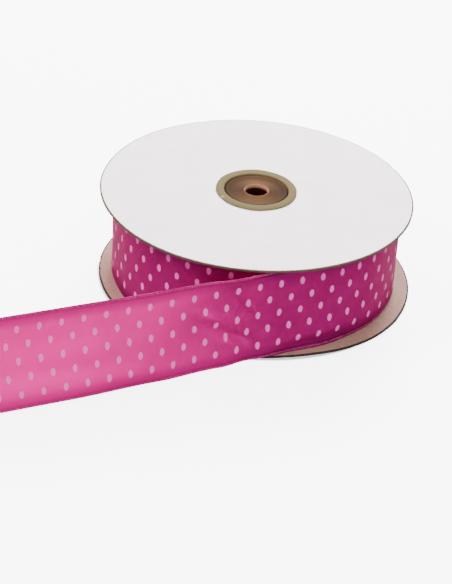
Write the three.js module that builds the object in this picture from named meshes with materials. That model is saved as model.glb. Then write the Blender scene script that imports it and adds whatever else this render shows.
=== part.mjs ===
import * as THREE from 'three';

// A spool of satin ribbon. It lies flat: two card discs on a paper core, the ribbon wound between them,
// and the ribbon's loose end drawn off the front of the roll and out to the left, standing on its edge.
// Millimetres, Z up. The origin is at the middle of the underside of the whole object's box.

// ribbon
const RIBBON_WIDTH = 38;
const SHEET_THICKNESS = 1;
const GAP = 0.3;

// card discs
const CARD_RADIUS = 65;
const CARD_THICKNESS = 1;
const CARD_EDGE = 0.15;
const CARD_HOLE_RADIUS = 15.7;
// the soft spool has gone a little out of line: each end sits this far to its own side of the roll's axis
const SKEW = 0.8;

// core tube, with its ends rolled out over the cards
const TUBE_INNER_RADIUS = 13.3;
const TUBE_OUTER_RADIUS = 14.5;
const ROLLED_LIP_RADIUS = 16.5;
const ROLLED_LIP_THICKNESS = 0.5;

// board plug inside the core
const PLUG_RADIUS = 12.9;
const PLUG_HOLE_RADIUS = 4.75;
// the plug's end face, from its hole out to its rim: how far each ring lies below the rolled lip
const PLUG_FACE = [
  { radius: PLUG_HOLE_RADIUS, below: 0.55 },
  { radius: 5.3, below: 0.4 },
  { radius: 6.4, below: 0.7 },
  { radius: 9.6, below: 1.1 },
  { radius: 12.2, below: 0.5 },
  { radius: PLUG_RADIUS, below: 0.9 },
];

// heights above the table
const LIP_STANDS_PROUD = ROLLED_LIP_THICKNESS + GAP;
const LOWER_CARD_TOP = LIP_STANDS_PROUD + CARD_THICKNESS;
const RIBBON_FOOT = LOWER_CARD_TOP + GAP;
const UPPER_CARD_UNDERSIDE = RIBBON_FOOT + RIBBON_WIDTH + GAP;
const SPOOL_HEIGHT = UPPER_CARD_UNDERSIDE + CARD_THICKNESS + LIP_STANDS_PROUD;

// wound roll, seen from above: angles in degrees from the front of the spool, positive to the right.
// The last turn ends where the loose end's root lies against it, so the outline steps in there.
const ROLL_BORE_RADIUS = 15.8;
const ROLL_OUTLINE = [
  { angle: 27, radius: 59.2 },
  { angle: -90, radius: 59.4 },
  { angle: -180, radius: 59.5 },
  { angle: -284, radius: 59.5 },
  { angle: -285, radius: 58.2 },
  { angle: -333, radius: 59.2 },
];
const ROLL_STEP_DEGREES = 3;

// loose end, seen from above: it follows the roll from its root, then leaves it in a straight line
const END_ROOT = { angle: 74, radius: 59.05 };
const END_LEAVES = { angle: 27, radius: 60.05 };
const END_HEADING = 26.3;
const END_STRAIGHT_LENGTH = 153;

// how the loose end stands, by the distance from where it leaves the roll: how many degrees its top leans
// back, how high its lower edge is, and how far its middle bows out to the front
const END_SECTIONS = [
  { along: -60, lean: 0, foot: RIBBON_FOOT, bow: 0 },
  { along: 8, lean: 0, foot: RIBBON_FOOT, bow: 0 },
  { along: 30, lean: 2.5, foot: RIBBON_FOOT, bow: -0.5 },
  { along: 43, lean: 7, foot: 1.2, bow: -0.2 },
  { along: 72, lean: 9.5, foot: 0, bow: -0.3 },
  { along: 108, lean: 12.5, foot: 0, bow: -0.3 },
  { along: 153, lean: 15, foot: 0, bow: -0.2 },
];

// soft ridges and troughs where the ribbon turns out of the upright: a negative rise is a trough
const END_FOLDS = [
  { along: 27, across: -15, length: 12, width: 8, rise: 1.1 },
  { along: 42, across: -3, length: 11, width: 3.5, rise: -1 },
  { along: 46, across: 2, length: 13, width: 3.5, rise: 0.9 },
  { along: 64, across: -8, length: 22, width: 6, rise: 0.6 },
  { along: 92, across: 7, length: 28, width: 7, rise: -0.5 },
  { along: 130, across: -7, length: 26, width: 7, rise: 0.5 },
];
const END_STEPS_ALONG = 84;
const END_STEPS_ACROSS = 14;

const ROUND_STEPS = 96;
const HUB_STEPS = 64;

// a point on a circle round the spool's axis, at an angle from the front
function polar(angle, radius) {
  const turn = THREE.MathUtils.degToRad(angle);
  return new THREE.Vector2(radius * Math.sin(turn), -radius * Math.cos(turn));
}

// a value from one column of a table, eased between the two rows on either side
function tableValue(table, key, column, at) {
  const next = table.findIndex((row) => row[key] > at);
  if (next === 0) return table[0][column];
  if (next < 0) return table[table.length - 1][column];
  const before = table[next - 1];
  const after = table[next];
  const share = THREE.MathUtils.smoothstep(at, before[key], after[key]);
  return THREE.MathUtils.lerp(before[column], after[column], share);
}

// a solid turned about the spool's axis from a closed outline of [radius, height] corners
function turned(corners, steps) {
  const outline = [...corners, corners[0]].map(([radius, height]) => new THREE.Vector2(radius, height));
  return new THREE.LatheGeometry(outline, steps).rotateX(Math.PI / 2);
}

// the sideways shift of the skewed spool at a height
function skewAt(height) {
  return SKEW * (1 - (2 * height) / SPOOL_HEIGHT);
}

// lean a turned solid over with the spool
function skewed(geometry) {
  const position = geometry.attributes.position;
  for (let i = 0; i < position.count; i += 1) {
    position.setX(i, position.getX(i) + skewAt(position.getZ(i)));
  }
  return geometry;
}

function cardDisc() {
  return turned([
    [CARD_HOLE_RADIUS, 0],
    [CARD_RADIUS - CARD_EDGE, 0],
    [CARD_RADIUS, CARD_EDGE],
    [CARD_RADIUS, CARD_THICKNESS - CARD_EDGE],
    [CARD_RADIUS - CARD_EDGE, CARD_THICKNESS],
    [CARD_HOLE_RADIUS, CARD_THICKNESS],
  ], ROUND_STEPS);
}

// one rolled lip's corners, from the tube's bore round to its outside, as heights from the spool's end
function rolledLip() {
  const round = ROLLED_LIP_THICKNESS / 3;
  return [
    [TUBE_INNER_RADIUS, round],
    [TUBE_INNER_RADIUS + round, 0],
    [ROLLED_LIP_RADIUS - round, 0],
    [ROLLED_LIP_RADIUS, round],
    [ROLLED_LIP_RADIUS, ROLLED_LIP_THICKNESS - round],
    [ROLLED_LIP_RADIUS - round, ROLLED_LIP_THICKNESS],
    [TUBE_OUTER_RADIUS, ROLLED_LIP_THICKNESS],
  ];
}

function coreTube() {
  const lower = rolledLip();
  const upper = lower.map(([radius, height]) => [radius, SPOOL_HEIGHT - height]);
  return skewed(turned([...lower, ...upper.reverse()], HUB_STEPS));
}

function corePlug() {
  const lower = PLUG_FACE.map(({ radius, below }) => [radius, below]);
  const upper = PLUG_FACE.map(({ radius, below }) => [radius, SPOOL_HEIGHT - below]);
  return skewed(turned([...lower, ...upper.reverse()], HUB_STEPS));
}

// the wound ribbon: its spiral outline with the core's bore, raised to the ribbon's width
function ribbonRoll() {
  const points = [];
  for (let i = 1; i < ROLL_OUTLINE.length; i += 1) {
    const from = ROLL_OUTLINE[i - 1];
    const to = ROLL_OUTLINE[i];
    const steps = Math.ceil((from.angle - to.angle) / ROLL_STEP_DEGREES);
    for (let step = 0; step < steps; step += 1) {
      const share = step / steps;
      const angle = THREE.MathUtils.lerp(from.angle, to.angle, share);
      points.push(polar(angle, THREE.MathUtils.lerp(from.radius, to.radius, share)));
    }
  }
  const bore = Array.from({ length: HUB_STEPS }, (_, step) => polar((360 * step) / HUB_STEPS, ROLL_BORE_RADIUS));
  const outline = new THREE.Shape(points);
  outline.holes.push(new THREE.Path(bore));
  return new THREE.ExtrudeGeometry(outline, { depth: RIBBON_WIDTH, bevelEnabled: false });
}

// the loose end's middle line seen from above: a slow spiral on the roll, then straight
function endRoute() {
  const points = [];
  const curvedSteps = 12;
  for (let step = 0; step <= curvedSteps; step += 1) {
    const share = step / curvedSteps;
    const angle = THREE.MathUtils.lerp(END_ROOT.angle, END_LEAVES.angle, share);
    points.push(polar(angle, THREE.MathUtils.lerp(END_ROOT.radius, END_LEAVES.radius, share)));
  }
  const start = points[curvedSteps];
  const heading = THREE.MathUtils.degToRad(END_HEADING);
  const direction = new THREE.Vector2(-Math.cos(heading), -Math.sin(heading));
  const straightSteps = 10;
  for (let step = 1; step <= straightSteps; step += 1) {
    points.push(direction.clone().multiplyScalar((END_STRAIGHT_LENGTH * step) / straightSteps).add(start));
  }
  const route = new THREE.CatmullRomCurve3(points.map(({ x, y }) => new THREE.Vector3(x, y, 0)), false, 'centripetal');
  route.arcLengthDivisions = 600;
  return route;
}

// how far the cloth stands out at a place: its bow across the width and the soft folds
function endRelief(along, across) {
  const middle = 1 - (2 * across / RIBBON_WIDTH) ** 2;
  let relief = tableValue(END_SECTIONS, 'along', 'bow', along) * middle;
  for (const fold of END_FOLDS) {
    const u = (along - fold.along) / fold.length;
    const v = (across - fold.across) / fold.width;
    relief += fold.rise * Math.exp(-u * u - v * v);
  }
  return relief;
}

function ribbonEnd() {
  const route = endRoute();
  const length = route.getLength();
  const geometry = new THREE.BoxGeometry(
    length, SHEET_THICKNESS, RIBBON_WIDTH, END_STEPS_ALONG, 1, END_STEPS_ACROSS);
  const position = geometry.attributes.position;
  for (let i = 0; i < position.count; i += 1) {
    const travelled = position.getX(i) + length / 2;
    const out = position.getY(i);
    const across = position.getZ(i);
    const along = travelled - (length - END_STRAIGHT_LENGTH);
    const share = THREE.MathUtils.clamp(travelled / length, 0, 1);
    const centre = route.getPointAt(share);
    const tangent = route.getTangentAt(share);
    const front = new THREE.Vector3(-tangent.y, tangent.x, 0);
    const lean = THREE.MathUtils.degToRad(tableValue(END_SECTIONS, 'along', 'lean', along));
    const foot = tableValue(END_SECTIONS, 'along', 'foot', along);
    const up = new THREE.Vector3(0, 0, Math.cos(lean)).addScaledVector(front, -Math.sin(lean));
    const normal = new THREE.Vector3(0, 0, Math.sin(lean)).addScaledVector(front, Math.cos(lean));
    const place = centre.clone().setZ(foot + (RIBBON_WIDTH / 2) * Math.cos(lean));
    place.addScaledVector(up, across);
    place.addScaledVector(normal, out + endRelief(along, across));
    position.setXYZ(i, place.x, place.y, Math.max(0, place.z));
  }
  return geometry;
}

function finish(color, roughness) {
  return new THREE.MeshStandardMaterial({ color, roughness, metalness: 0 });
}

function piece(name, geometry, material) {
  const mesh = new THREE.Mesh(geometry, material);
  mesh.name = name;
  return mesh;
}

const whiteBoard = finish(0xe7e5e6, 0.6);
const creamPaper = finish(0xb3a788, 0.8);
const kraftBoard = finish(0x8a7153, 0.85);
const pinkSatin = finish(0xc23a86, 0.4);

const cardTop = piece('card_top', cardDisc(), whiteBoard);
cardTop.position.set(-SKEW, 0, UPPER_CARD_UNDERSIDE);
const cardBottom = piece('card_bottom', cardDisc(), whiteBoard.clone());
cardBottom.position.set(SKEW, 0, LIP_STANDS_PROUD);
const roll = piece('ribbon_roll', ribbonRoll(), pinkSatin);
roll.position.z = RIBBON_FOOT;

const spool = new THREE.Group();
spool.add(cardBottom, cardTop, roll);
spool.add(piece('core_tube', coreTube(), creamPaper));
spool.add(piece('core_plug', corePlug(), kraftBoard));
spool.add(piece('ribbon_end', ribbonEnd(), pinkSatin.clone()));

const box = new THREE.Box3().setFromObject(spool);
const middle = box.getCenter(new THREE.Vector3());
spool.position.set(-middle.x, -middle.y, -box.min.z);

const part = new THREE.Group();
part.add(spool);

export default part;
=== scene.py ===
import math
import random

import bmesh
import bpy
import numpy as np
from mathutils import Matrix, Vector, noise


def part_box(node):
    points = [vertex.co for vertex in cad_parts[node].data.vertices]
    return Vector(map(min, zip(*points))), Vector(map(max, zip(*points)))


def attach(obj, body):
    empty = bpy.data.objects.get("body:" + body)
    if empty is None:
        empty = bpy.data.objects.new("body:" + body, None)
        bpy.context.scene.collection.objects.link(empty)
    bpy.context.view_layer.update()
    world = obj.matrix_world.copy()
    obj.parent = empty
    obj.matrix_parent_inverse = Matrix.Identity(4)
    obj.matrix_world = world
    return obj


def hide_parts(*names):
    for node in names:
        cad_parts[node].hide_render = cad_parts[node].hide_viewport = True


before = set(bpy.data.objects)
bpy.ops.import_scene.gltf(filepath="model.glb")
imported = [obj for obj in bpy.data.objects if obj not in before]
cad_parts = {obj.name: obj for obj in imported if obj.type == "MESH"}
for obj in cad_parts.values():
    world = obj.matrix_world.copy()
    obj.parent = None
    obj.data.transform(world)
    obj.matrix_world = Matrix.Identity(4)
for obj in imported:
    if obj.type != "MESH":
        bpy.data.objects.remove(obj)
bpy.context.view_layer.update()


# Card flanges: two discs die-cut from white-lined greyboard, white and smooth on the outer face, bare
# grey-beige board on the inner one. The cut rim shows the grey-brown core and is a little battered. The
# core tube's rolled ends hold them on.
MM = 0.001  # metres to the millimetre, in which sizes are given
CARD_STEPS = 256
CARD_OUTER_RADIUS = 65
CARD_HOLE = 15.75
# half the outline, from the hole along one face and round the cut rim: radius and depth below that face
CARD_ROWS = [
    (CARD_HOLE, 0.12), (16.1, 0.0), (20, 0), (26, 0), (33, 0), (40, 0), (47, 0), (54, 0), (60, 0),
    (63.2, 0), (64.35, 0.015), (64.72, 0.05), (64.93, 0.12), (65.0, 0.2), (64.95, 0.3), (64.99, 0.42),
]
CARD_RIM_BAND = 0.6  # how far in from the outer edge the cut rim's rounding reaches
CARD_WAVE = (0.1, 38)  # height and length of the board's slow waves
CARD_WAVE_GROWS = 12  # how far from the hole the waves reach their full height
CARD_STRAY_FROM = 20  # the radius out to which the tube's rolled end holds the board level
CARD_RIM_WEAR = (0.09, 4.5)  # depth and length of the rim's unevenness
CARD_RIM_WORN = 1.2  # how far in from the outer edge the wear reaches
CARD_RIM_SWELL = 0.04  # the most that wear pushes the rim outwards
# how far each rim strays: degrees from the front, positive to the right, then outwards and upwards
CARD_STRAYS = {
    "lower_card": [
        (-90, -0.3, 0.0), (-30, 0.0, 0.0), (5, 0.0, -0.05), (13, 0.0, 0.24), (24, 0.0, 0.2),
        (38, 0.5, -0.3), (50, 0.7, -0.5), (64, 0.65, -0.5), (76, 0.4, -0.2), (95, 0.25, -0.05),
        (180, 0.0, 0.0),
    ],
    "upper_card": [
        (-140, -0.1, -0.3), (-104, -0.85, -0.3), (-90, -0.6, -0.3), (-65, -0.45, -0.3), (-45, 0.0, -0.3),
        (-30, 0.3, -0.3), (0, 0.1, -0.3), (60, 0.1, -0.3), (120, -0.25, -0.3), (150, -0.2, -0.3),
    ],
}
# dents in the rims: degrees from the front, then depth and half width
CARD_DENTS = {
    "lower_card": [
        (-91.5, 0.5, 0.9), (-84.5, 0.42, 0.8), (-30, 0.2, 1.6), (41, 0.3, 0.9), (152, 0.35, 1.2),
    ],
    "upper_card": [
        (-58, 0.22, 0.8), (14, 0.16, 1.1), (66, 0.2, 0.7), (-158, 0.4, 1.3), (118, 0.25, 0.9),
    ],
}


def deselect_all():
    bpy.ops.object.select_all(action="DESELECT")


def linear(hex_colour):
    """An sRGB hex colour as linear RGBA."""
    parts = [int(hex_colour[i:i + 2], 16) / 255 for i in (1, 3, 5)]
    return (*(p / 12.92 if p <= 0.04045 else ((p + 0.055) / 1.055) ** 2.4 for p in parts), 1.0)


def add_node(tree, kind, settings=None, inputs=None):
    """Adds a shader node, sets its attributes, and fills each input with a value or a link."""
    node = tree.nodes.new("ShaderNode" + kind)
    for name, value in (settings or {}).items():
        setattr(node, name, value)
    for name, value in (inputs or {}).items():
        if isinstance(value, bpy.types.NodeSocket):
            tree.links.new(value, node.inputs[name])
        else:
            node.inputs[name].default_value = value
    return node


def new_material(name):
    material = bpy.data.materials.new(name)
    material.use_nodes = True
    return material, material.node_tree, material.node_tree.nodes["Principled BSDF"]


def polar(centre, degrees, radius):
    """A place round an upright axis: degrees from the front, positive to the right."""
    turn = math.radians(degrees)
    return centre.x + radius * math.sin(turn), centre.y - radius * math.cos(turn)


def turned(name, centre, rows, steps):
    """A closed shell round an upright axis, drawn ring by ring from rows of (radius, height)."""
    deselect_all()
    radius, height = rows[0]
    bpy.ops.mesh.primitive_circle_add(
        vertices=steps, radius=radius, location=(centre.x, centre.y, height), fill_type="NOTHING")
    shell = bpy.context.object
    shell.name = name
    bpy.ops.object.mode_set(mode="EDIT")
    bpy.ops.mesh.select_all(action="SELECT")
    for radius, height, last_radius, last_height in [(*b, *a) for a, b in zip(rows, rows[1:] + rows[:1])]:
        bpy.ops.mesh.extrude_region_move(TRANSFORM_OT_translate={"value": (0, 0, height - last_height)})
        share = radius / last_radius
        bpy.ops.transform.resize(value=(share, share, 1), center_override=(centre.x, centre.y, height))
    bpy.ops.mesh.select_all(action="SELECT")
    bpy.ops.mesh.remove_doubles(threshold=0.002 * MM)
    bpy.ops.mesh.normals_make_consistent(inside=False)
    bpy.ops.object.mode_set(mode="OBJECT")
    bpy.ops.object.transform_apply(location=True, rotation=True, scale=True)
    return shell


def card_disc(name, node, white_side_up):
    """One flange in the place of its solid, with its white face up or down."""
    low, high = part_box(node)
    centre, thickness = (low + high) / 2, (high.z - low.z) / MM
    lower = [(r * MM, low.z + d * thickness * MM) for r, d in CARD_ROWS]
    upper = [(r, low.z + high.z - z) for r, z in reversed(lower)]
    disc = turned(name, centre, lower + upper, CARD_STEPS)
    for surface in (white_liner, bare_board, cut_board if white_side_up else rim_painted_shade_board):
        disc.data.materials.append(surface)
    for face in disc.data.polygons:
        on_rim = (face.center - centre).xy.length > (CARD_OUTER_RADIUS - CARD_RIM_BAND) * MM
        face.material_index = 2 if on_rim else int((face.normal.z > 0) != white_side_up)
    wave, wave_length = CARD_WAVE
    wear, wear_length = CARD_RIM_WEAR
    degrees, reaches, rises = zip(*CARD_STRAYS[name])
    seed = 3 if white_side_up else 11
    for vertex in disc.data.vertices:
        place = vertex.co - centre
        out = math.hypot(place.x, place.y) / MM
        angle = math.degrees(math.atan2(place.x, -place.y))
        slow = noise.noise(Vector((place.x, place.y, 0)) / (wave_length * MM) + Vector((0, 0, seed)))
        free = max(0, (out - CARD_STRAY_FROM) / (CARD_OUTER_RADIUS - CARD_STRAY_FROM))
        rise = np.interp(angle, degrees, rises, period=360) * free ** 3
        vertex.co.z += (rise + wave * slow * min(1, (out - CARD_HOLE) / CARD_WAVE_GROWS)) * MM
        near_rim = max(0, (out - CARD_OUTER_RADIUS + CARD_RIM_WORN) / CARD_RIM_WORN)
        dent = wear * noise.noise(Vector((place.x, place.y, 4 * place.z)) / (wear_length * MM))
        for at, depth, half_width in CARD_DENTS[name]:
            arc = math.radians((angle - at + 180) % 360 - 180) * out
            dent -= depth * math.exp(-(arc / half_width) ** 2)
        reach = np.interp(angle, degrees, reaches, period=360) * (out / CARD_OUTER_RADIUS) ** 4
        push = 1 + (reach + near_rim * min(dent, CARD_RIM_SWELL)) / out
        vertex.co.x, vertex.co.y = centre.x + place.x * push, centre.y + place.y * push
    bpy.ops.object.shade_smooth_by_angle(angle=math.radians(50))
    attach(disc, "root")
    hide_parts(node)
    return disc


def board(name, light, dark, grain, flatness, roughness, tooth):
    """Pressed pulp in two mingled shades. The grain is in millimetres; flatness squeezes it upright."""
    material, tree, shader = new_material(name)
    place = add_node(tree, "TexCoord").outputs["Object"]
    squeezed = add_node(tree, "VectorMath", {"operation": "MULTIPLY"}, {
        0: place, 1: (1, 1, flatness)}).outputs[0]
    pulp = add_node(tree, "TexNoise", None, {"Vector": squeezed, "Scale": 1 / (grain * MM), "Detail": 4})
    share = add_node(tree, "MapRange", None, {
        "Value": pulp.outputs["Fac"], "From Min": 0.35, "From Max": 0.65})
    colour = add_node(tree, "Mix", {"data_type": "RGBA"}, {
        0: share.outputs[0], 6: linear(light), 7: linear(dark)})
    tree.links.new(colour.outputs[2], shader.inputs["Base Color"])
    fibre = add_node(tree, "TexNoise", None, {"Vector": place, "Scale": 1 / (0.5 * MM), "Detail": 3})
    bump = add_node(tree, "Bump", None, {
        "Height": fibre.outputs["Fac"], "Strength": 0.25, "Distance": tooth * MM})
    tree.links.new(bump.outputs[0], shader.inputs["Normal"])
    shader.inputs["Roughness"].default_value = roughness
    shader.inputs["Specular IOR Level"].default_value = 0.35
    return material


# White-lined greyboard: a bleached, lightly coated liner over recycled grey pulp, pressed flat and cut with
# a steel rule. The eye gets an even matt white face, a dull pinkish beige inner face with flecks of pulp
# 2 mm long, and a brown edge in thin plies. The lower card's edge is nearly black with painted shade.
white_liner = board("white_liner", "#efebed", "#e8e4e6", 14, 1, 0.58, 0.015)
bare_board = board("bare_greyboard", "#97766b", "#8c6b60", 1.8, 1, 0.85, 0.03)
cut_board = board("cut_greyboard", "#5a4c3c", "#3a3026", 2.2, 14, 0.9, 0.04)
# painted shade: the lower card's rim is made nearly black for the shade beneath it
rim_painted_shade_board = board("rim_painted_shade_greyboard", "#2c2018", "#15100b", 2.2, 14, 0.9, 0.04)

card_disc("lower_card", "card_bottom", white_side_up=False)
card_disc("upper_card", "card_top", white_side_up=True)


# Core tube: a spiral-wound cream paper tube through both cards. Its two ends are rolled out flat over the
# cards by a heated die, which leaves the cream rings that show, with fine radial wrinkles.
HUB_STEPS = 192
# one rolled end, from the bore over the lip to the tube's outside: radius and depth from the spool's end
LIP_ROWS = [
    (13.3, 1.6), (13.3, 0.7), (13.34, 0.34), (13.46, 0.14), (13.72, 0.03), (14.2, 0.0), (14.8, 0.02),
    (15.4, 0.0), (15.95, 0.03), (16.28, 0.1), (16.46, 0.22), (16.47, 0.36), (16.3, 0.46), (15.9, 0.5),
    (15.2, 0.5), (14.75, 0.54), (14.55, 0.7), (14.5, 1.6),
]
LIP_FREE = (15, 1.4)  # where the lip's loose outer part begins, and its width
LIP_WANDER = 0.16  # how far the lip's edge strays
LIP_WRINKLE = 0.05  # how deep its radial wrinkles are
LIP_DROOP = 0.26  # how far its edge droops to the card
# how much further the rolled lip reaches than its rows: degrees from the front, then millimetres
LIP_REACH = [(-90, 0.27), (-45, 0.6), (0, 0.9), (45, 0.5), (90, 0.1), (135, 1.0), (180, 1.7), (225, 1.0)]

card_low, card_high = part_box("card_bottom"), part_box("card_top")
core_low, core_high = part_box("core_tube")
lower_centre, upper_centre = (card_low[0] + card_low[1]) / 2, (card_high[0] + card_high[1]) / 2
AXIS = (lower_centre + upper_centre) / 2


def skewed(shell):
    """Leans a turned shell over with the spool, whose two ends have gone a little out of line."""
    rise = upper_centre.z - lower_centre.z
    for vertex in shell.data.vertices:
        share = (vertex.co.z - lower_centre.z) / rise - 0.5
        vertex.co.x += share * (upper_centre.x - lower_centre.x)


lower_lip = [(r * MM, core_low.z + d * MM) for r, d in LIP_ROWS]
upper_lip = [(r, core_low.z + core_high.z - z) for r, z in reversed(lower_lip)]
core = turned("paper_core", AXIS, lower_lip + upper_lip, HUB_STEPS)
for vertex in core.data.vertices:
    place = vertex.co - AXIS
    out = math.hypot(place.x, place.y) / MM
    turn = math.atan2(place.x, -place.y)
    on_lip = max(0, min(1, (out - LIP_FREE[0]) / LIP_FREE[1]))
    wander = noise.noise(Vector((2.2 * math.sin(turn), 2.2 * math.cos(turn), 40 * place.z)))
    wrinkle = noise.noise(Vector((34 * math.sin(turn), 34 * math.cos(turn), 0)))
    reach = np.interp(math.degrees(turn), *zip(*LIP_REACH), period=360)
    push = 1 + on_lip * (reach + LIP_WANDER * (wander - 0.25)) / out
    vertex.co.x, vertex.co.y = AXIS.x + place.x * push, AXIS.y + place.y * push
    # only away from the face that the spool stands on, so that it still rests flat
    if 14 < out < 16.3:
        vertex.co.z -= math.copysign(LIP_WRINKLE * max(0, wrinkle) * MM, place.z)
    vertex.co.z -= math.copysign(LIP_DROOP * on_lip ** 2 * MM, place.z)
skewed(core)
bpy.ops.object.shade_smooth_by_angle(angle=math.radians(60))

# Cream core paper: unbleached, wound in spirals and glued, then rolled over. The eye gets a dull olive
# cream in streaks 1 to 2 mm long, and a small paler spot at the front left of the upper lip.
material, tree, shader = new_material("cream_core_paper")
place = add_node(tree, "TexCoord").outputs["Object"]
from_axis = add_node(tree, "VectorMath", {"operation": "SUBTRACT"}, {
    0: place, 1: (AXIS.x, AXIS.y, 0)}).outputs[0]
streaks = add_node(tree, "TexNoise", None, {
    "Vector": from_axis, "Scale": 1 / (1.4 * MM), "Detail": 5, "Roughness": 0.65})
shades = add_node(tree, "TexNoise", None, {"Vector": from_axis, "Scale": 1 / (16 * MM), "Detail": 2})
paper = add_node(tree, "Mix", {"data_type": "RGBA"}, {
    0: streaks.outputs["Fac"], 6: linear("#625c3b"), 7: linear("#514c30")})
warmth = add_node(tree, "MapRange", None, {
    "Value": shades.outputs["Fac"], "From Min": 0.35, "From Max": 0.65})
paper = add_node(tree, "Mix", {"data_type": "RGBA"}, {
    0: warmth.outputs[0], 6: paper.outputs[2], 7: linear("#5e5338")})
# a small paler spot at the front left of the upper lip
pale_spot_place = polar(upper_centre, -58, 16.2 * MM)
pale_spot_from = add_node(tree, "VectorMath", {"operation": "DISTANCE"}, {
    0: place, 1: (*pale_spot_place, core_high.z)})
pale_spot = add_node(tree, "MapRange", {"interpolation_type": "SMOOTHSTEP"}, {
    "Value": pale_spot_from.outputs["Value"], "From Min": 1.1 * MM, "From Max": 0.2 * MM,
    "To Min": 0.0, "To Max": 0.5})
paper = add_node(tree, "Mix", {"data_type": "RGBA"}, {
    0: pale_spot.outputs[0], 6: paper.outputs[2], 7: linear("#aaa391")})
tree.links.new(paper.outputs[2], shader.inputs["Base Color"])
bump = add_node(tree, "Bump", None, {
    "Height": streaks.outputs["Fac"], "Strength": 0.4, "Distance": 0.04 * MM})
tree.links.new(bump.outputs[0], shader.inputs["Normal"])
shader.inputs["Roughness"].default_value = 0.9
shader.inputs["Specular IOR Level"].default_value = 0.12
core.data.materials.append(material)
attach(core, "root")
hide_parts("core_tube")


# Board plug: brown kraft board pressed into a shallow dished plug that fills the core tube, pushed in from
# the end. It has a small hole for a peg through the middle, with a raised lip round it.
PLUG_BORE = 4.75
# half the outline, from the middle of the bore over one end face to the middle of the rim
PLUG_ROWS = [
    (PLUG_BORE, 12), (PLUG_BORE, 4), (4.74, 1.4), (4.78, 0.8), (4.9, 0.5), (5.15, 0.38), (5.45, 0.36),
    (5.8, 0.45), (6.3, 0.66), (7.0, 0.82), (8.0, 0.96), (9.2, 1.06), (10.2, 1.04), (11.0, 0.86),
    (11.6, 0.64), (12.1, 0.52), (12.5, 0.55), (12.75, 0.68), (12.87, 0.95), (12.9, 1.6), (12.9, 12),
]
PLUG_PRESS = (0.06, 3.2)  # height and length of the unevenness that pressing left
lower_face = [(r * MM, core_low.z + d * MM) for r, d in PLUG_ROWS]
upper_face = [(r, core_low.z + core_high.z - z) for r, z in reversed(lower_face)]
plug = turned("board_plug", AXIS, lower_face + upper_face, HUB_STEPS)
for vertex in plug.data.vertices:
    place = vertex.co - AXIS
    out = math.hypot(place.x, place.y) / MM
    rough_press = noise.noise(place / (PLUG_PRESS[1] * MM))
    if PLUG_BORE + 0.1 < out < 12.6:
        vertex.co.z += math.copysign(PLUG_PRESS[0] * MM, place.z) * min(rough_press, 0.5)
skewed(plug)
bpy.ops.object.shade_smooth_by_angle(angle=math.radians(60))

# Kraft board: brown unbleached pulp under pressure, mottled in flecks 2 to 3 mm long. The eye gets a matt
# brown, paler round the hole and darkened by painted shade out in the dish and at its left and right.
# Inside the bore it is painted dark red-brown as shade, with a paler painted light along its top.
material, tree, shader = new_material("kraft_board")
place = add_node(tree, "TexCoord").outputs["Object"]
from_axis = add_node(tree, "VectorMath", {"operation": "SUBTRACT"}, {
    0: place, 1: (upper_centre.x, upper_centre.y, 0)}).outputs[0]
level = add_node(tree, "VectorMath", {"operation": "MULTIPLY"}, {0: from_axis, 1: (1, 1, 0)}).outputs[0]
out = add_node(tree, "VectorMath", {"operation": "LENGTH"}, {0: level}).outputs["Value"]
pulp = add_node(tree, "TexNoise", None, {
    "Vector": place, "Scale": 1 / (2.6 * MM), "Detail": 6, "Roughness": 0.6})
# painted shade: the brown darkens out in the dish towards the ring
dished = add_node(tree, "MapRange", None, {"Value": out, "From Min": 6 * MM, "From Max": 12.5 * MM})
brown = add_node(tree, "Mix", {"data_type": "RGBA"}, {
    0: dished.outputs[0], 6: linear("#5f432a"), 7: linear("#352616")})
brown = add_node(tree, "Mix", {"data_type": "RGBA"}, {
    0: pulp.outputs["Fac"], 6: brown.outputs[2], 7: linear("#432f1d")})
# painted shade: the dish is darker at its left and right
sideways = add_node(tree, "SeparateXYZ", None, {
    0: add_node(tree, "VectorMath", {"operation": "NORMALIZE"}, {0: level}).outputs[0]}).outputs["X"]
sideways = add_node(tree, "Math", {"operation": "MULTIPLY"}, {0: sideways, 1: sideways}).outputs[0]
side_painted_shade = add_node(tree, "MapRange", None, {"Value": sideways, "To Min": 0.0, "To Max": 0.75})
brown = add_node(tree, "Mix", {"data_type": "RGBA"}, {
    0: side_painted_shade.outputs[0], 6: brown.outputs[2], 7: linear("#26190c")})
from_waist = add_node(tree, "VectorMath", {"operation": "SUBTRACT"}, {0: place, 1: tuple(AXIS)}).outputs[0]
height = add_node(tree, "SeparateXYZ", None, {0: from_waist}).outputs["Z"]
height = add_node(tree, "Math", {"operation": "ABSOLUTE"}, {0: height}).outputs[0]
# painted light along the top of the bore's wall, and painted shade as dark red-brown deeper down
bore_top_painted_light = add_node(tree, "MapRange", {"interpolation_type": "SMOOTHSTEP"}, {
    "Value": height, "From Min": core_high.z - AXIS.z - 2.3 * MM,
    "From Max": core_high.z - AXIS.z - 1.3 * MM})
bore = add_node(tree, "Mix", {"data_type": "RGBA"}, {
    0: bore_top_painted_light.outputs[0], 6: linear("#25070a"), 7: linear("#9a7256")})
in_bore = add_node(tree, "MapRange", {"interpolation_type": "SMOOTHSTEP"}, {
    "Value": out, "From Min": 5.3 * MM, "From Max": 4.85 * MM})
brown = add_node(tree, "Mix", {"data_type": "RGBA"}, {
    0: in_bore.outputs[0], 6: brown.outputs[2], 7: bore.outputs[2]})
tree.links.new(brown.outputs[2], shader.inputs["Base Color"])
bump = add_node(tree, "Bump", None, {"Height": pulp.outputs["Fac"], "Strength": 0.5, "Distance": 0.06 * MM})
tree.links.new(bump.outputs[0], shader.inputs["Normal"])
shader.inputs["Roughness"].default_value = 0.85
shader.inputs["Specular IOR Level"].default_value = 0.06
plug.data.materials.append(material)
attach(plug, "root")
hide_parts("core_plug")


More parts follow.
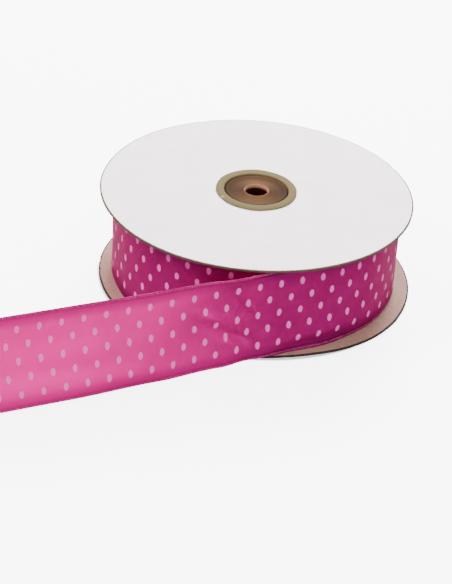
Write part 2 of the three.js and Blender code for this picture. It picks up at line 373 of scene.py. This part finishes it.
# Ribbon: one length of satin, 38 mm wide, stitched along both edges, printed with rows of pale dots and
# wound on the core in close turns. The last turn and the loose end are one sheet of their own, which comes
# off the front of the roll, stands on its edge and leans back as it runs out to the left.
RIBBON_WIDTH = 38
RIBBON_THICKNESS = 0.4
RIBBON_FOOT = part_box("ribbon_roll")[0].z / MM

# the last turn seen from above: degrees from the front, counted on past 360, and the sheet's own radius
LAST_TURN = [
    (27, 60.2), (50, 59.6), (74, 59.4), (110, 59.5), (150, 60.0), (205, 60.0), (262, 58.9),
    (330, 58.75), (387, 58.6), (425, 58.2),
]
# small waves in it: how many to a turn, height and phase
LAST_TURN_WAVES = [(7, 0.12, 0.4), (13, 0.1, 2.1), (23, 0.05, 1.2), (37, 0.025, 4.0)]
WAVES_GROW = 25  # the degrees over which they rise from nothing at the front
END_LEAVES = 27  # where the loose end leaves the roll, in degrees
END_HEADING = 26.3  # the way it goes, in degrees from straight left towards the front
END_STRAIGHT_LENGTH = 153
# how the ribbon stands, by the distance from where it leaves the roll: the degrees that its top leans back,
# its lower edge's height, and how far its middle bows to the front
RIBBON_SECTIONS = [
    (-420, 0, RIBBON_FOOT, -0.15), (-300, -1, RIBBON_FOOT, -0.1), (-250, -2, RIBBON_FOOT, -0.1),
    (-200, 0, RIBBON_FOOT, -0.3), (-90, -0.5, RIBBON_FOOT, -0.5), (-45, 0, RIBBON_FOOT, 0.1),
    (8, 0, RIBBON_FOOT, 0.2), (30, 1.5, 1.9, -0.5), (43, 6, 1.0, -0.2), (72, 9.5, 0, -0.6),
    (108, 12.5, 0, -1.1), (153, 15, 0, -1.1),
]
# soft ridges and troughs: along, across, length, width, rise and the degrees that they run uphill
RIBBON_FOLDS = [
    # the long folds of the loose end
    (27, -15, 12, 8, 1.3, 0), (118, -12, 44, 5, 1.5, 3), (98, 8, 30, 6, -1.0, -2),
    (110, -1.5, 34, 4.5, 0.45, 2), (70, -17.5, 26, 3.2, -0.9, -2), (140, 9, 22, 6, -0.5, 0),
    (62, 12, 20, 6, -0.6, 3),
    # the pucker beside the roll
    (38, -6, 9, 2.2, -1.45, 27), (43.5, 1.8, 8, 1.8, 1.2, 17), (47, 3.8, 4.5, 0.9, 0.4, 8),
    (52, 6.6, 7, 1.8, 0.3, 12), (35.5, 7.6, 2.6, 0.75, -0.5, 55), (35.8, 5.2, 2.6, 0.7, -0.55, -45),
    (31, 2.2, 2.8, 0.75, -0.5, 20), (33.5, 0.9, 2.4, 0.65, 0.42, -25), (30, 4.6, 2.6, 0.8, 0.4, 60),
    (41, 3.1, 3.4, 0.6, 0.3, -14), (37.5, -9.0, 5, 2.4, 0.5, 15), (24, -6, 9, 3, -0.3, -12),
    (16, 6, 12, 5, 0.3, 10), (20, -12, 9, 4, 0.35, 0),
    # the belly over the lower card, the hollow under it and the edge that stands out again
    (-30, -20, 24, 4.5, -0.4, 0), (3, -20.8, 15, 2.8, 1.9, 0), (-2, -16.5, 18, 3.0, -0.75, 0),
    (-1, -11.5, 21, 4.8, 0.85, -2),
    # the upper edge, which curls over as it comes out from the upper card
    (35, 20.5, 10, 5, 1.7, 0), (8, 19.5, 12, 4.5, -0.9, 6),
]
RIBBON_CLEARS = 0.01  # how far its lower edge stays off the table
FOLD_FADES = 3  # a fold is left out past this many times its larger size
HEADING_EASE = 3.5  # how far before and after a place its heading is taken
FINE_FROM = -25  # where the sheet's closer steps begin, ahead of the pucker
EDGE_CROWDING = 0.12  # how much the steps across close up towards the edges
SHEET_STEPS_TURN = 210
SHEET_STEPS_END = 240
SHEET_STEPS_ACROSS = 76


def table_value(rows, column, at):
    """A value from one column of a table, eased between the rows on either side."""
    if at <= rows[0][0]:
        return rows[0][column]
    for before, after in zip(rows, rows[1:]):
        if at <= after[0]:
            share = (at - before[0]) / (after[0] - before[0])
            return before[column] + (after[column] - before[column]) * share * share * (3 - 2 * share)
    return rows[-1][column]


def ribbon_route():
    """The sheet's middle line from above, as distances from where it leaves the roll and their places."""
    turns, radii = zip(*LAST_TURN)
    places = []
    for degrees in np.arange(LAST_TURN[-1][0], END_LEAVES - 0.01, -1.0):
        radius = np.interp(degrees, turns, radii)
        ease = min(1, (degrees - END_LEAVES) / WAVES_GROW)
        for waves, rise, phase in LAST_TURN_WAVES:
            radius += ease * rise * math.sin(math.radians(waves * degrees) + phase)
        places.append(polar(AXIS, degrees, radius * MM))
    heading = math.radians(END_HEADING)
    start = places[-1]
    for step in np.arange(2, END_STRAIGHT_LENGTH + 0.5, 1.0):
        places.append((start[0] - step * MM * math.cos(heading), start[1] - step * MM * math.sin(heading)))
    places = np.array(places)
    gone = np.concatenate([[0], np.cumsum(np.linalg.norm(np.diff(places, axis=0), axis=1))]) / MM
    return gone - (gone[-1] - END_STRAIGHT_LENGTH), places


route_along, route_places = ribbon_route()
SHEET_START, SHEET_END = route_along[0], route_along[-1]


def route_at(along):
    """The middle line's place and heading at a distance, the heading smoothed over a few millimetres."""
    x, y = (np.interp(along, route_along, column) for column in route_places.T)
    before, after = max(along - HEADING_EASE, SHEET_START), min(along + HEADING_EASE, SHEET_END)
    dx, dy = (np.interp(after, route_along, column) - np.interp(before, route_along, column)
              for column in route_places.T)
    length = math.hypot(dx, dy)
    return Vector((x, y, 0)), Vector((dx / length, dy / length, 0))


def ribbon_relief(along, across):
    """How far the sheet stands out to the front of its flat section, in millimetres."""
    relief = table_value(RIBBON_SECTIONS, 3, along) * (1 - (2 * across / RIBBON_WIDTH) ** 2)
    for at, level, length, width, rise, uphill in RIBBON_FOLDS:
        du, dv = along - at, across - level
        if max(abs(du), abs(dv)) < FOLD_FADES * max(length, width):
            turn = math.radians(uphill)
            u = (du * math.cos(turn) + dv * math.sin(turn)) / length
            v = (-du * math.sin(turn) + dv * math.cos(turn)) / width
            relief += rise * math.exp(-u * u - v * v)
    return relief


def ribbon_point(along, across):
    """A place on the ribbon's middle layer, with the ways along it, up it and out of its front."""
    centre, tangent = route_at(along)
    front = Vector((-tangent.y, tangent.x, 0))
    lean = math.radians(table_value(RIBBON_SECTIONS, 1, along))
    foot = table_value(RIBBON_SECTIONS, 2, along)
    up = Vector((0, 0, math.cos(lean))) - front * math.sin(lean)
    normal = Vector((0, 0, math.sin(lean))) + front * math.cos(lean)
    centre.z = (foot + RIBBON_WIDTH / 2 * math.cos(lean)) * MM
    point = centre + up * across * MM + normal * ribbon_relief(along, across) * MM
    point.z = max(point.z, (RIBBON_THICKNESS / 2 * math.sin(lean) + RIBBON_CLEARS) * MM)
    return point, tangent, up, normal


def lay_sheet(name):
    """The last turn and the loose end: a flat grid as long and wide as their cut, laid along the route."""
    deselect_all()
    steps = SHEET_STEPS_TURN + SHEET_STEPS_END
    bpy.ops.mesh.primitive_grid_add(x_subdivisions=steps, y_subdivisions=SHEET_STEPS_ACROSS, size=1)
    sheet = bpy.context.object
    sheet.name = name
    switch = SHEET_STEPS_TURN / steps
    uv_places = {}
    for vertex in sheet.data.vertices:
        share = 0.5 - vertex.co.x
        if share < switch:
            along = SHEET_START + (FINE_FROM - SHEET_START) * share / switch
        else:
            along = FINE_FROM + (SHEET_END - FINE_FROM) * (share - switch) / (1 - switch)
        level = 2 * vertex.co.y
        across = RIBBON_WIDTH / 2 * (level + EDGE_CROWDING * math.sin(math.pi * level) / math.pi)
        uv_places[vertex.index] = (along, across)
        vertex.co = ribbon_point(along, across)[0]
    cloth = sheet.data.uv_layers[0]
    cloth.name = "ribbon_mm"
    for loop in sheet.data.loops:
        cloth.data[loop.index].uv = uv_places[loop.vertex_index]
    return sheet


# Satin: bright polyester floats run lengthwise over a fine weft, dyed magenta. The eye gets a smooth,
# slightly streaky pink with a soft sheen along the folds, paler where light comes through a single layer,
# and darker towards the edges with painted shade. The dots are matt pale ink on the outer face.
DOT_PITCH = 9.09
DOT_ROW_PITCH = 6.47
DOT_SIZE = (1.03, 1.67)  # half length along the ribbon and half height across it
FIRST_DOT = 13.93  # dots from where the ribbon leaves the roll to the one at the start of the count
THINNESS = 0.5  # the share of the light that one face of the cloth passes on
INKED_THINNESS = 0.1  # the same under a dot
PRINTED_TO = 16.2  # how far from the middle the print reaches


def satin(name, printed, see_through=True):
    """The dyed cloth, with or without its print, in the ribbon's own millimetres."""
    material, tree, shader = new_material(name)
    cloth = add_node(tree, "UVMap", {"uv_map": "ribbon_mm"}).outputs[0]
    parts = add_node(tree, "SeparateXYZ", None, {0: cloth})
    along, across = parts.outputs["X"], parts.outputs["Y"]
    from_middle = add_node(tree, "Math", {"operation": "ABSOLUTE"}, {0: across}).outputs[0]

    # floats are 0.1 mm apart in the real cloth; these streaks are drawn coarser, so that they show
    float_place = add_node(tree, "VectorMath", {"operation": "MULTIPLY"}, {
        0: cloth, 1: (0.05, 1.6, 0)}).outputs[0]
    floats = add_node(tree, "TexNoise", {"noise_dimensions": "2D"}, {
        "Vector": float_place, "Scale": 1.0, "Detail": 4})
    grain = add_node(tree, "TexNoise", {"noise_dimensions": "2D"}, {
        "Vector": cloth, "Scale": 1.6, "Detail": 4})
    shade = add_node(tree, "TexNoise", {"noise_dimensions": "2D"}, {
        "Vector": cloth, "Scale": 0.06, "Detail": 2})
    streak = add_node(tree, "MapRange", None, {
        "Value": floats.outputs["Fac"], "From Min": 0.3, "From Max": 0.7})
    colour = add_node(tree, "Mix", {"data_type": "RGBA"}, {
        0: streak.outputs[0], 6: linear("#a21b78"), 7: linear("#ab1d80")}).outputs[2]
    tone = add_node(tree, "MapRange", None, {
        "Value": shade.outputs["Fac"], "From Min": 0.3, "From Max": 0.7})
    colour = add_node(tree, "Mix", {"data_type": "RGBA"}, {
        0: tone.outputs[0], 6: colour, 7: linear("#9b1872")}).outputs[2]

    # painted shade darkens the cloth towards the edges, and the stitching draws in a dark line
    band = add_node(tree, "MapRange", {"interpolation_type": "SMOOTHSTEP"}, {
        "Value": from_middle, "From Min": 16.9, "From Max": 17.4, "To Min": 0.0, "To Max": 0.75}).outputs[0]
    # painted shade: the cloth's colour darkens from 12.5 mm out towards each edge
    edge_painted_shade = add_node(tree, "MapRange", {"interpolation_type": "SMOOTHSTEP"}, {
        "Value": from_middle, "From Min": 12.5, "From Max": 17.0, "To Min": 0.0, "To Max": 0.5}).outputs[0]
    colour = add_node(tree, "Mix", {"data_type": "RGBA"}, {
        0: edge_painted_shade, 6: colour, 7: linear("#821060")}).outputs[2]
    colour = add_node(tree, "Mix", {"data_type": "RGBA"}, {
        0: band, 6: colour, 7: linear("#5c083c")}).outputs[2]
    rough = add_node(tree, "MapRange", None, {
        "Value": streak.outputs[0], "To Min": 0.36, "To Max": 0.41}).outputs[0]

    if printed:
        count = add_node(tree, "Math", {"operation": "DIVIDE"}, {0: along, 1: -DOT_PITCH}).outputs[0]
        count = add_node(tree, "Math", {"operation": "ADD"}, {0: count, 1: FIRST_DOT}).outputs[0]
        row = add_node(tree, "Math", {"operation": "DIVIDE"}, {0: across, 1: DOT_ROW_PITCH}).outputs[0]
        whole_row = add_node(tree, "Math", {"operation": "ROUND"}, {0: row}).outputs[0]
        odd = add_node(tree, "Math", {"operation": "FLOORED_MODULO"}, {0: whole_row, 1: 2.0}).outputs[0]
        shifted = add_node(tree, "Math", {"operation": "MULTIPLY_ADD"}, {
            0: odd, 1: 0.5, 2: count}).outputs[0]
        nearest = add_node(tree, "Math", {"operation": "ROUND"}, {0: shifted}).outputs[0]
        off_along = add_node(tree, "Math", {"operation": "SUBTRACT"}, {0: shifted, 1: nearest}).outputs[0]
        off_across = add_node(tree, "Math", {"operation": "SUBTRACT"}, {0: row, 1: whole_row}).outputs[0]
        off = add_node(tree, "CombineXYZ", None, {"X": off_along, "Y": off_across}).outputs[0]
        off = add_node(tree, "VectorMath", {"operation": "MULTIPLY"}, {
            0: off, 1: (DOT_PITCH / DOT_SIZE[0], DOT_ROW_PITCH / DOT_SIZE[1], 0)}).outputs[0]
        ragged = add_node(tree, "TexNoise", {"noise_dimensions": "2D"}, {
            "Vector": cloth, "Scale": 0.8, "Detail": 2})
        from_dot = add_node(tree, "VectorMath", {"operation": "LENGTH"}, {0: off}).outputs["Value"]
        from_dot = add_node(tree, "Math", {"operation": "MULTIPLY_ADD"}, {
            0: ragged.outputs["Fac"], 1: 0.3, 2: from_dot})
        ink = add_node(tree, "MapRange", {"interpolation_type": "SMOOTHSTEP"}, {
            "Value": from_dot.outputs[0], "From Min": 1.24, "From Max": 1.02}).outputs[0]
        inside = add_node(tree, "Math", {"operation": "LESS_THAN"}, {
            0: from_middle, 1: PRINTED_TO}).outputs[0]
        ink = add_node(tree, "Math", {"operation": "MULTIPLY"}, {0: ink, 1: inside}).outputs[0]
        colour = add_node(tree, "Mix", {"data_type": "RGBA"}, {
            0: ink, 6: colour, 7: linear("#e274ba")}).outputs[2]
        rough = add_node(tree, "Mix", None, {0: ink, 2: rough, 3: 0.75}).outputs[0]

    tree.links.new(colour, shader.inputs["Base Color"])
    tree.links.new(rough, shader.inputs["Roughness"])
    weave = add_node(tree, "Math", {"operation": "ADD"}, {
        0: floats.outputs["Fac"], 1: grain.outputs["Fac"]}).outputs[0]
    bump = add_node(tree, "Bump", None, {"Height": weave, "Strength": 0.18, "Distance": 0.04 * MM})
    tree.links.new(bump.outputs[0], shader.inputs["Normal"])
    tangent = add_node(tree, "Tangent", {"direction_type": "UV_MAP", "uv_map": "ribbon_mm"})
    tree.links.new(tangent.outputs[0], shader.inputs["Tangent"])
    shader.inputs["Anisotropic"].default_value = 0.6
    shader.inputs["Anisotropic Rotation"].default_value = 0.25
    shader.inputs["Metallic"].default_value = 0.35
    shader.inputs["Specular IOR Level"].default_value = 0.12
    shader.inputs["Specular Tint"].default_value = linear("#ff4a9c")
    if not see_through:
        return material

    # one layer of satin lets the light behind it through, but the ink stops it
    # the light passed through is darker towards the edges by the same painted shade
    passed = add_node(tree, "Mix", {"data_type": "RGBA"}, {
        0: edge_painted_shade, 6: linear("#e152ae"), 7: linear("#b03c86")}).outputs[2]
    through = add_node(tree, "BsdfTranslucent", None, {"Color": passed}).outputs[0]
    thin = THINNESS
    if printed:
        thin = add_node(tree, "MapRange", None, {
            "Value": ink, "To Min": THINNESS, "To Max": INKED_THINNESS}).outputs[0]
    layer = add_node(tree, "MixShader", None, {0: thin, 1: shader.outputs[0], 2: through})
    tree.links.new(layer.outputs[0], tree.nodes["Material Output"].inputs["Surface"])
    return material


printed_satin, plain_satin = satin("printed_satin", True), satin("plain_satin", False)
wound_satin = satin("wound_satin", False, see_through=False)

sheet = lay_sheet("loose_ribbon")
sheet.data.materials.append(printed_satin)
sheet.data.materials.append(plain_satin)
solid = sheet.modifiers.new("thickness", "SOLIDIFY")
solid.thickness = RIBBON_THICKNESS * MM
solid.offset = 0
solid.material_offset = solid.material_offset_rim = 1
bpy.ops.object.modifier_apply(modifier=solid.name)
for vertex in sheet.data.vertices:
    vertex.co.z = max(vertex.co.z, 0)
bpy.ops.object.shade_smooth_by_angle(angle=math.radians(60))
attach(sheet, "root")
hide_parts("ribbon_end")

# the close turns beneath: the same ribbon laid along a spiral from the core outwards
TURN_PITCH = 0.43
ROLL_CORE_RADIUS = 16.3
ROLL_TURNS_RADIUS = 57.2
ROLL_TURN_STEPS = 96
ROLL_STARTS = 45  # the degrees from the front at which the first turn begins
TURN_WIDTH = RIBBON_WIDTH * 0.996  # the wound cloth draws in a little
TURN_EDGE_WANDER = 0.14
deselect_all()
turn_count = (ROLL_TURNS_RADIUS - ROLL_CORE_RADIUS) / TURN_PITCH
turn_steps = int(turn_count * ROLL_TURN_STEPS)
bpy.ops.mesh.primitive_grid_add(x_subdivisions=turn_steps, y_subdivisions=2, size=1)
turns = bpy.context.object
turns.name = "wound_ribbon"
turn_uv = {}
for vertex in turns.data.vertices:
    share = 0.5 + vertex.co.x
    degrees = 360 * turn_count * share + ROLL_STARTS
    radius = ROLL_CORE_RADIUS + (ROLL_TURNS_RADIUS - ROLL_CORE_RADIUS) * share
    x, y = polar(AXIS, degrees, radius * MM)
    wander = TURN_EDGE_WANDER * noise.noise(Vector((radius * 1.3, degrees / 140, 0)))
    level = RIBBON_FOOT + RIBBON_WIDTH / 2 + TURN_WIDTH * vertex.co.y + wander
    turn_uv[vertex.index] = (math.radians(degrees) * radius, RIBBON_WIDTH * vertex.co.y)
    vertex.co = (x, y, level * MM)
cloth = turns.data.uv_layers[0]
cloth.name = "ribbon_mm"
for loop in turns.data.loops:
    cloth.data[loop.index].uv = turn_uv[loop.vertex_index]
turns.data.materials.append(wound_satin)
solid = turns.modifiers.new("thickness", "SOLIDIFY")
solid.thickness = RIBBON_THICKNESS * MM
solid.offset = 0
bpy.ops.object.modifier_apply(modifier=solid.name)
bpy.ops.object.shade_smooth_by_angle(angle=math.radians(60))
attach(turns, "root")
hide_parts("ribbon_roll")


# Stitched edges: a fine bright thread is sewn over both of the ribbon's edges as it is woven, about one
# stitch to the millimetre. Each stitch is a small bead of thread that bulges on both faces.
STITCH_PITCH = 0.95
STITCH_SIZE = (0.36, 0.5, 0.36)  # half sizes along the edge, across it and through the cloth
STITCH_INSET = 0.55  # its middle, inwards from the edge
STITCH_SLANT = 18  # degrees
random.seed(7)

deselect_all()
bpy.ops.mesh.primitive_uv_sphere_add(segments=6, ring_count=4, radius=1)
stitch = bpy.context.object
bpy.ops.object.mode_set(mode="EDIT")
bpy.ops.mesh.select_all(action="SELECT")
bpy.ops.transform.resize(value=tuple(size * MM for size in STITCH_SIZE))
bpy.ops.object.mode_set(mode="OBJECT")
one_stitch = stitch.data

edge_mesh = bmesh.new()
for side in (-1, 1):
    along = SHEET_START + 1
    while along < SHEET_END - 0.5:
        wander = random.uniform(-0.06, 0.06)
        place, tangent, up, normal = ribbon_point(along, side * (RIBBON_WIDTH / 2 - STITCH_INSET + wander))
        slant = Matrix.Rotation(math.radians(side * (STITCH_SLANT + random.uniform(-8, 8))), 4, "Z")
        basis = Matrix((tangent, up, normal)).transposed().to_4x4()
        lifted = Matrix.Translation(place) @ basis @ slant
        before = len(edge_mesh.verts)
        edge_mesh.from_mesh(one_stitch)
        edge_mesh.verts.ensure_lookup_table()
        bmesh.ops.transform(edge_mesh, matrix=lifted, verts=edge_mesh.verts[before:])
        along += STITCH_PITCH * random.uniform(0.94, 1.06)
edges = bpy.data.objects.new("edge_stitches", bpy.data.meshes.new("edge_stitches"))
bpy.context.scene.collection.objects.link(edges)
edge_mesh.to_mesh(edges.data)
edge_mesh.free()
bpy.data.objects.remove(stitch)
for vertex in edges.data.vertices:
    vertex.co.z = max(vertex.co.z, 0)
deselect_all()
bpy.context.view_layer.objects.active = edges
edges.select_set(True)
bpy.ops.object.shade_smooth()

# Sewing thread: twisted bright polyester, a shade paler than the satin, its two shades changing about every
# stitch. The eye gets small glints.
material, tree, shader = new_material("edge_thread")
place = add_node(tree, "TexCoord").outputs["Object"]
twist = add_node(tree, "TexNoise", None, {"Vector": place, "Scale": 1 / (0.9 * MM), "Detail": 2})
tint = add_node(tree, "MapRange", None, {"Value": twist.outputs["Fac"], "From Min": 0.35, "From Max": 0.65})
thread = add_node(tree, "Mix", {"data_type": "RGBA"}, {
    0: tint.outputs[0], 6: linear("#98206c"), 7: linear("#c8559c")})
tree.links.new(thread.outputs[2], shader.inputs["Base Color"])
shader.inputs["Roughness"].default_value = 0.4
shader.inputs["Specular Tint"].default_value = linear("#ff9fd0")
edges.data.materials.append(material)
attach(edges, "root")


# Studio: a pale table top lit from within, six soft lights, and an even room that is brighter below, as the
# table makes it. The table is kept out of the object's own light and reflections, so that its glow doesn't
# count twice. None of it is the object.
TABLE_GLOW = 5.0
TABLE_SHADE = (64.4, 65.8)  # the radii between which the lower card's shade on it fades out
ROOM_ABOVE, ROOM_BELOW = 0.5, 1.6
ROOM_BLENDS = 0.15  # how far above and below the horizon the two meet
deselect_all()
bpy.ops.mesh.primitive_plane_add(size=6, location=(0, 0, 0))
table_top = bpy.context.object
table_top.name = "table_top"
material, tree, shader = new_material("pale_table")
shader.inputs["Base Color"].default_value = linear("#fbfbfb")
shader.inputs["Roughness"].default_value = 0.7
shader.inputs["Emission Color"].default_value = (1, 1, 1, 1)
# painted shade: the table's glow is turned down beneath the lower card, where the card keeps the light off
place = add_node(tree, "TexCoord").outputs["Object"]
from_spool = add_node(tree, "VectorMath", {"operation": "DISTANCE"}, {
    0: place, 1: (lower_centre.x, lower_centre.y, 0)}).outputs["Value"]
glow = add_node(tree, "MapRange", {"interpolation_type": "SMOOTHSTEP"}, {
    "Value": from_spool, "From Min": TABLE_SHADE[0] * MM, "From Max": TABLE_SHADE[1] * MM,
    "To Min": 0.0, "To Max": TABLE_GLOW})
tree.links.new(glow.outputs[0], shader.inputs["Emission Strength"])
table_top.data.materials.append(material)
table_top.visible_diffuse = table_top.visible_glossy = False

room = bpy.data.worlds.new("studio_room")
bpy.context.scene.world = room
room.use_nodes = True
upward = add_node(room.node_tree, "SeparateXYZ", None, {
    0: add_node(room.node_tree, "TexCoord").outputs["Generated"]}).outputs["Z"]
room_light = add_node(room.node_tree, "MapRange", {"interpolation_type": "SMOOTHSTEP"}, {
    "Value": upward, "From Min": -ROOM_BLENDS, "From Max": ROOM_BLENDS,
    "To Min": ROOM_BELOW, "To Max": ROOM_ABOVE})
room.node_tree.links.new(room_light.outputs[0], room.node_tree.nodes["Background"].inputs["Strength"])
room.node_tree.nodes["Background"].inputs["Color"].default_value = (1, 1, 1, 1)

LIGHTS_AIM_AT = 0.02  # the height of the roll's middle
# soft lights: name, degrees from the front, degrees above the table, distance, width, power and colour
LIGHTS = [
    ("front_softbox", 22, 62, 1.7, 0.5, 14, "#ffffff"),
    ("right_softbox", 48, 22, 1.6, 0.6, 10.5, "#fff4f0"),
    ("left_softbox", -75, 46, 1.6, 0.6, 35, "#ffdfe2"),
    ("rear_softbox", 112, 40, 1.6, 0.6, 6, "#ffd6c8"),
    ("back_softbox", 172, 36, 1.6, 0.9, 80, "#ffffff"),
    ("left_back_softbox", -138, 30, 1.6, 0.7, 15, "#fff0f3"),
]
for name, degrees, above, distance, width, power, colour in LIGHTS:
    lamp = bpy.data.lights.new(name, "AREA")
    lamp.shape = "DISK"
    lamp.size = width
    lamp.energy = power
    lamp.color = linear(colour)[:3]
    light = bpy.data.objects.new(name, lamp)
    bpy.context.scene.collection.objects.link(light)
    x, y = polar(AXIS, degrees, distance * math.cos(math.radians(above)))
    light.location = (x, y, distance * math.sin(math.radians(above)))
    aim = Vector((AXIS.x, AXIS.y, LIGHTS_AIM_AT)) - light.location
    light.rotation_euler = aim.to_track_quat("-Z", "Y").to_euler()

# Camera: the photograph's view, fitted to the outlines of the two cards and given in card radii. Its middle
# is right of the upper card's middle and above the lower card's underside.
CAMERA_ABOVE = math.radians(30.52)
CAMERA_ROLL = math.radians(-4.59)
CAMERA_DISTANCE = 17 * CARD_OUTER_RADIUS * MM
CAMERA_OFF = (0.1494 * CARD_OUTER_RADIUS * MM, 0.1048 * CARD_OUTER_RADIUS * MM)
CAMERA_LENS = 162.42
camera = bpy.data.objects.new("camera", bpy.data.cameras.new("camera"))
bpy.context.scene.collection.objects.link(camera)
back = Vector((0, -math.cos(CAMERA_ABOVE), math.sin(CAMERA_ABOVE)))
right = Vector((1, 0, 0))
roll = Matrix.Rotation(CAMERA_ROLL, 3, "Z")
facing = (roll @ Matrix((right, back.cross(right), back))).transposed()
origin = Vector((upper_centre.x, AXIS.y, card_low[0].z))
middle = origin + facing @ Vector((-CAMERA_OFF[0], -CAMERA_OFF[1], CAMERA_DISTANCE))
camera.matrix_world = Matrix.Translation(middle) @ facing.to_4x4()
camera.data.lens = CAMERA_LENS
bpy.context.scene.camera = camera

bpy.context.view_layer.update()
